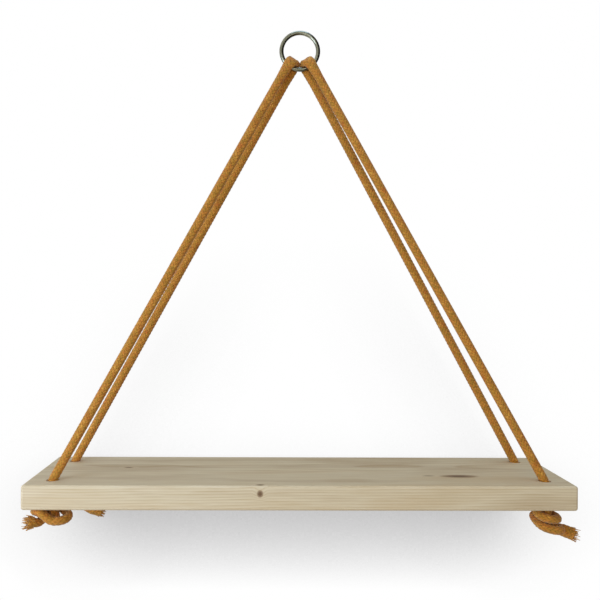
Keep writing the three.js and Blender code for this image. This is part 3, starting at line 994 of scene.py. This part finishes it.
def make_floor():
    """A pale floor well below the board, with a faint painted grey shade, and clear far out."""
    s = new_material("pale_floor")
    openness = s.openness(FLOOR_SHADE_REACH, FLOOR_SHADE_SAMPLES)
    # Painted shade: grey where things hem the floor in, white in the open
    seen = s.node("Emission", s.ramp(openness, ((0.0, FLOOR_SHADE), (1.0, WHITE)))).outputs[0]
    clear = s.node("BsdfTransparent").outputs[0]
    x, y, _ = s.place()
    away = s.root(s.plus(s.power(x, 2.0), s.power(y, 2.0)))
    fade = s.ramp(away, ((FLOOR_FADE[0] * MM, 0.0), (FLOOR_FADE[1] * MM, 1.0)))
    faded = s.mix_shaders(fade, seen, clear)
    sight = s.node("LightPath").outputs["Is Camera Ray"]
    s.link(s.mix_shaders(sight, clear, faded), s.nodes["Material Output"].inputs["Surface"])
    half = FLOOR_HALF_SIZE
    points = [(-half, -half, FLOOR), (half, -half, FLOOR), (half, half, FLOOR), (-half, half, FLOOR)]
    make_mesh("floor", points, [(0, 1, 2, 3)], s.owner)


def make_wall_shade():
    """A painted soft grey shadow, as the board would cast on a white wall behind it: clear in the open, and
    from behind.
    """
    s = new_material("wall_shade")
    openness = s.openness(WALL_SHADE_REACH, WALL_SHADE_SAMPLES, s.vector(*WALL_SHADE_FROM))
    # Painted shadow: grey where the board and ropes hem the sheet in
    tone = s.ramp(openness, ((WALL_SHADE_FULL, WALL_SHADE), (WALL_SHADE_NONE, WHITE)))
    # A ramp reads from 0 to 1, and the heights lie below the origin, so they are counted from further down
    low = -1.0
    height = s.minus(s.place()[2], low)
    fade = s.ramp(height, ((WALL_FADE[0] * MM - low, 1.0), (WALL_FADE[1] * MM - low, 0.0)))
    sight = s.node("LightPath").outputs["Is Camera Ray"]
    front = s.minus(sight, s.node("NewGeometry").outputs["Backfacing"], clamp=True)
    tint = s.node("BsdfTransparent", s.mix(s.times(front, fade), WHITE, tone)).outputs[0]
    s.link(tint, s.nodes["Material Output"].inputs["Surface"])
    left, right, bottom, top = WALL_AREA
    points = [(left, WALL, bottom), (right, WALL, bottom), (right, WALL, top), (left, WALL, top)]
    make_mesh("wall_shade", points, [(0, 1, 2, 3)], s.owner)


def make_light():
    """A white surround that lights softly, the light and dark bands that steel mirrors, and three lamps."""
    world = bpy.data.worlds.new("studio")
    bpy.context.scene.world = world
    s = Shading(world)
    seen = s.nodes["Background"]
    s.link((*WHITE, 1), seen.inputs["Color"])
    s.link(1.0, seen.inputs["Strength"])
    lighting = s.node("Background", (*SURROUND_TINT, 1), SURROUND).outputs[0]
    axes = s.node("SeparateXYZ", s.node("TexCoord").outputs["Generated"]).outputs
    from_left = s.maths("MULTIPLY_ADD", axes["X"], 0.5, 0.5)
    bands = s.ramp(from_left, [(at, (grey, grey, grey * GLINT_TINT)) for at, grey in GLINT_BANDS])
    glints = s.node("Background", bands).outputs[0]
    path = s.node("LightPath").outputs
    unseen = s.mix_shaders(path["Is Glossy Ray"], lighting, glints)
    mixed = s.mix_shaders(path["Is Camera Ray"], unseen, seen.outputs[0])
    s.link(mixed, s.nodes["World Output"].inputs["Surface"])
    make_area_light("key", *KEY)
    make_area_light("fill", *FILL)
    make_area_light("sky", *SKY)


# Assembly

make_camera()
bpy.context.scene.view_settings.view_transform = "Standard"

rope = rope_material()
yarn = yarn_material()

for side_name, (side, front, rear) in ROPES.items():
    route = rope_route(side, front, rear)
    piece = make_rope(f"{side_name}_rope", route, rope)
    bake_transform(piece)
    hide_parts(f"{side_name}_rope_turn", f"{side_name}_front_strand", f"{side_name}_rear_strand",
                f"{side_name}_front_knot", f"{side_name}_rear_knot")
    points = route[0][:, PLACE]
    front_end = points[0], points[END_STEPS]
    rear_end = points[-1], points[-1 - END_STEPS]
    for end_name, (end, inner) in (("front", front_end), ("rear", rear_end)):
        random = np.random.default_rng(FRAYED_END_SEEDS[f"{side_name}_{end_name}"])
        frayed = make_frayed_end(f"{side_name}_{end_name}_frayed_end", end, end - inner, yarn, random)
        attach(frayed, "shelf")

board = make_board(pine_material())
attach(board, "shelf")
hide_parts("board")

ring = make_ring(steel_material())
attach(ring, "ring")
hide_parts("ring")

make_light()
make_floor()
make_wall_shade()
